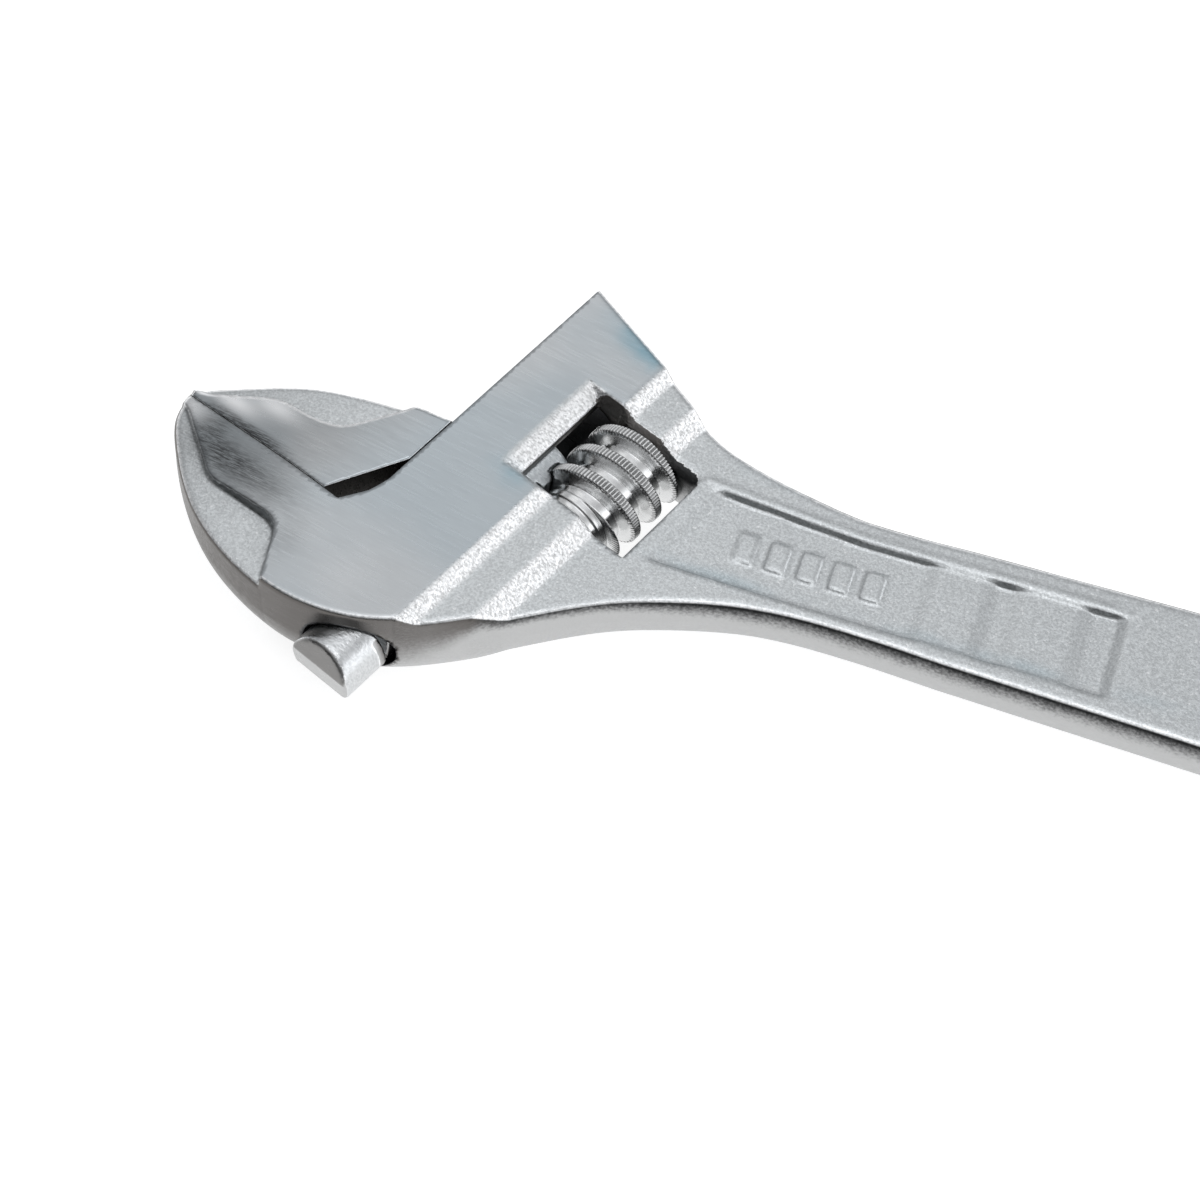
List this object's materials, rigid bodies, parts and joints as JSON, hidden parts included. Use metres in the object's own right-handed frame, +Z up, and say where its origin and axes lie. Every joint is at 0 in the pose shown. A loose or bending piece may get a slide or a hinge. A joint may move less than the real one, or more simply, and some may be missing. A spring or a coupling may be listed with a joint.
{
  "type": "adjustable wrench",
  "caption": "Forged adjustable wrench with angled head, fixed and sliding jaws, knurled worm and flat handle with a hanging hole.",
  "frame": {"origin": "bottom centre of the bounding box, with the wrench lying flat and its jaws closed", "axes": "+X along the handle from the jaws to the tail, +Y to the upper corner of the head, +Z up out of the head plate"},
  "size_m": [0.375, 0.0988, 0.024],
  "materials": {
    "forged_body": "bright zinc plated, ground head and grained handle",
    "forged_jaw": "bright zinc plated, ground plate and grained rim",
    "worm_steel": "bright plated, knurled crests",
    "pin_steel": "plain turned",
    "spring_steel": "drawn wire"
  },
  "bodies": {
    "body": {"body": "forged_body", "worm_pin": "pin_steel", "worm_spring": "spring_steel"},
    "jaw": {"movable_jaw": "forged_jaw"},
    "worm": {"worm": "worm_steel"}
  },
  "joints": [
    {"name": "jaw_slide", "type": "slide", "parent": "body", "child": "jaw", "axis": [0.3827, 0.9239, 0], "range_m": [0, 0.044]},
    {"name": "worm_spin", "type": "hinge", "parent": "body", "child": "worm", "pos_m": [-0.10227, 0.00916, 0.012], "axis": [-0.3827, -0.9239, 0], "range_deg": [0, 2520]}
  ],
  "couplings": [
    {"joint": "worm_spin", "follows": "jaw_slide", "rad_per_m": 997.33}
  ]
}
